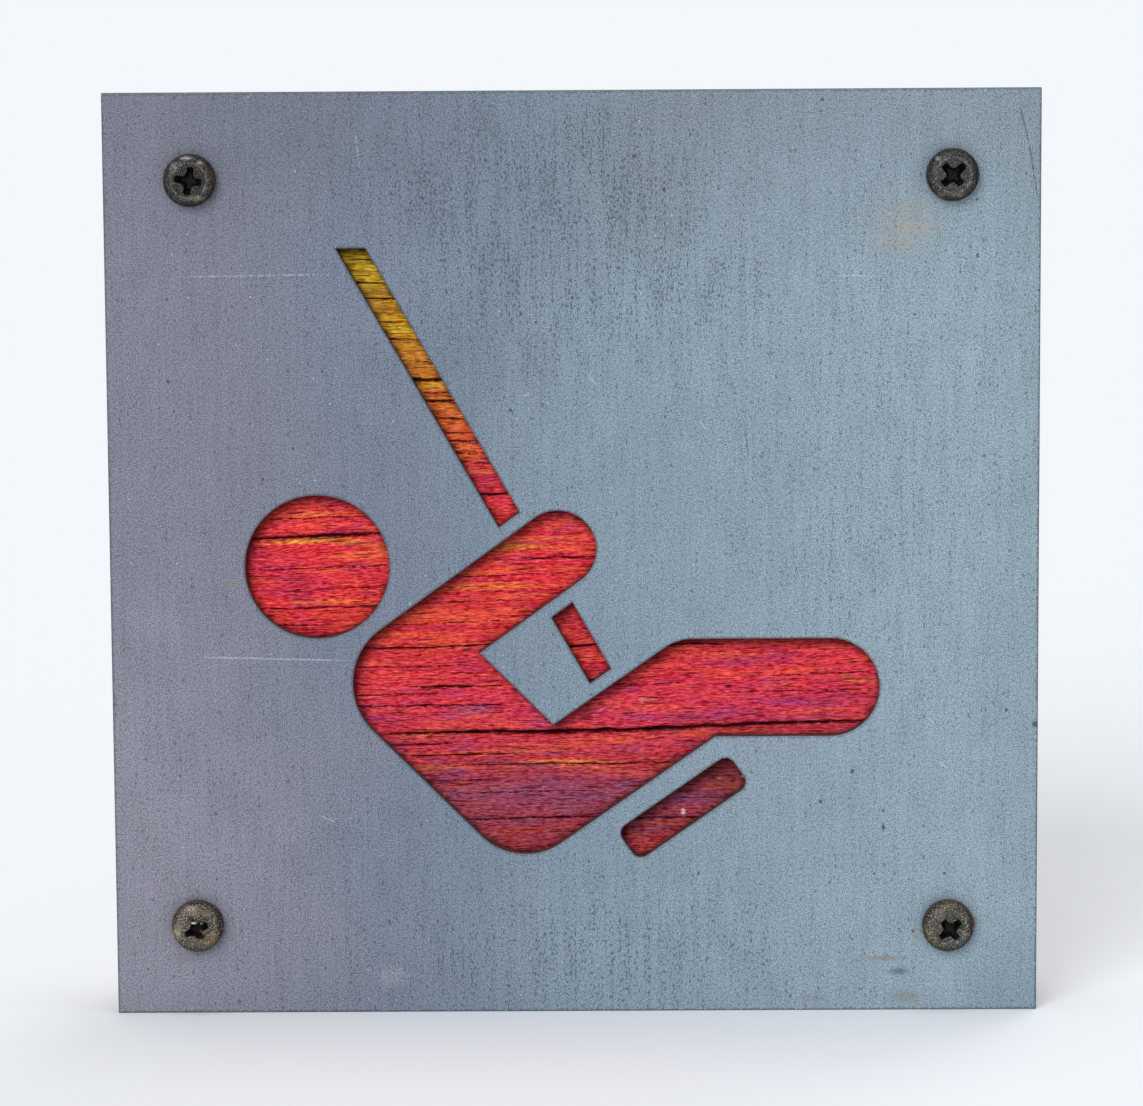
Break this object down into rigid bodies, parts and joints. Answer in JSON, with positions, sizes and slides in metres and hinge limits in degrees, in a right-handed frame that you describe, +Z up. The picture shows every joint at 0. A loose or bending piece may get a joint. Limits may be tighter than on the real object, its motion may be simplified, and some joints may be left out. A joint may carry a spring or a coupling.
{
  "type": "metal silhouette sign",
  "caption": "Square sheet-metal sign with a swing figure cut through it, screwed to a painted wooden backing board with keyhole hangers.",
  "frame": {"origin": "middle of the sign's foot: bottom centre of the whole sign's box, between the screw heads in front and the board's back", "axes": "+X to the right seen from the front, +Z up, front faces -Y and the back of the board faces +Y"},
  "size_m": [0.15, 0.0226, 0.15],
  "materials": {
    "zinc_sheet": "matte weathered zinc-coated steel, speckled, purple-grey to blue-grey",
    "painted_board": "weathered softwood with thin crimson, orange and yellow paint, cracked along the grain",
    "rusty_screw": "dark, oxidised steel with rust and dirt in the recess",
    "hanger_steel": "dull zinc-plated steel"
  },
  "bodies": {
    "root": {"face_plate": "zinc_sheet", "backing_board": "painted_board", "screw_top_left": "rusty_screw", "screw_top_right": "rusty_screw", "screw_bottom_left": "rusty_screw", "screw_bottom_right": "rusty_screw", "hanger_plate_left": "hanger_steel", "hanger_plate_right": "hanger_steel", "hanger_screw_left_top": "hanger_steel", "hanger_screw_left_bottom": "hanger_steel", "hanger_screw_right_top": "hanger_steel", "hanger_screw_right_bottom": "hanger_steel"}
  },
  "joints": []
}
